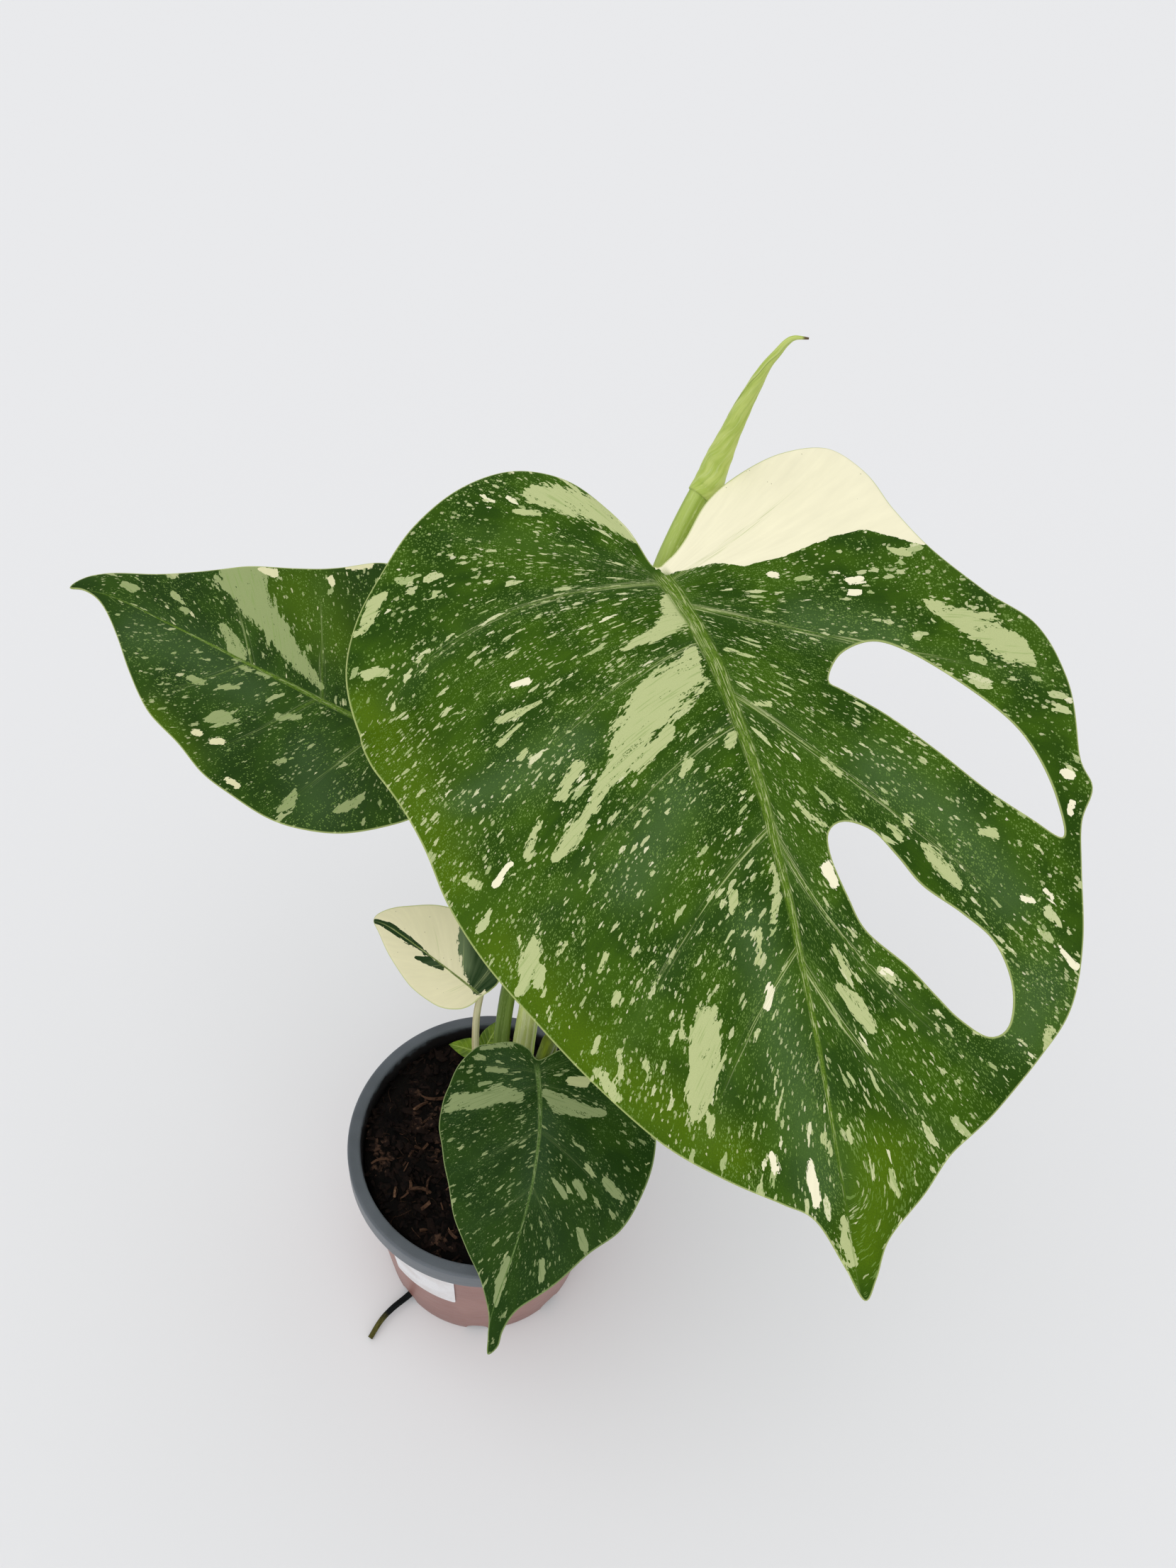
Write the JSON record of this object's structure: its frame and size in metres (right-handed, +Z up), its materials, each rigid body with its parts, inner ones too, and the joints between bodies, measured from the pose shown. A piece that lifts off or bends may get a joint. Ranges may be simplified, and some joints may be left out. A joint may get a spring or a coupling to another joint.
{
  "type": "potted thai constellation monstera",
  "caption": "Young variegated monstera in a round nursery pot with soil, a short stem, stalked cut and whole leaves, a rolled new leaf and a root that leaves the pot's base.",
  "frame": {"origin": "middle of the pot's flat underside, on the surface that it stands on", "axes": "+Z up along the pot's axis, -Y towards the picture's camera, +X to the right of the picture"},
  "size_m": [0.3458, 0.225, 0.4205],
  "materials": {
    "pot_plastic": "rosy brown moulded plastic with a slate grey rim",
    "label_paper": "white sticker, blank",
    "soil_mix": "dark bark and coir mix",
    "stem_skin": "green stem with pale scars",
    "petiole_skin": "green stalk with cream stripes",
    "cream_petiole_skin": "cream stalk",
    "variegated_leaf": "satin green leaf with sage and cream flecks and blotches",
    "cream_leaf": "mostly cream leaf with green marks",
    "new_leaf": "light yellow-green rolled leaf",
    "shoot_green": "bright green seedling leaf",
    "root_skin": "dark root, olive at its tip"
  },
  "bodies": {
    "root": {"pot": "pot_plastic", "label": "label_paper", "soil": "soil_mix", "stem": "stem_skin", "petiole_large": "petiole_skin", "petiole_left": "petiole_skin", "petiole_front": "petiole_skin", "petiole_new": "petiole_skin", "petiole_small": "cream_petiole_skin", "leaf_large": "variegated_leaf", "leaf_left": "variegated_leaf", "leaf_front": "variegated_leaf", "leaf_small": "cream_leaf", "new_leaf_spike": "new_leaf", "basal_shoot": "shoot_green", "drain_root": "root_skin"}
  },
  "joints": []
}
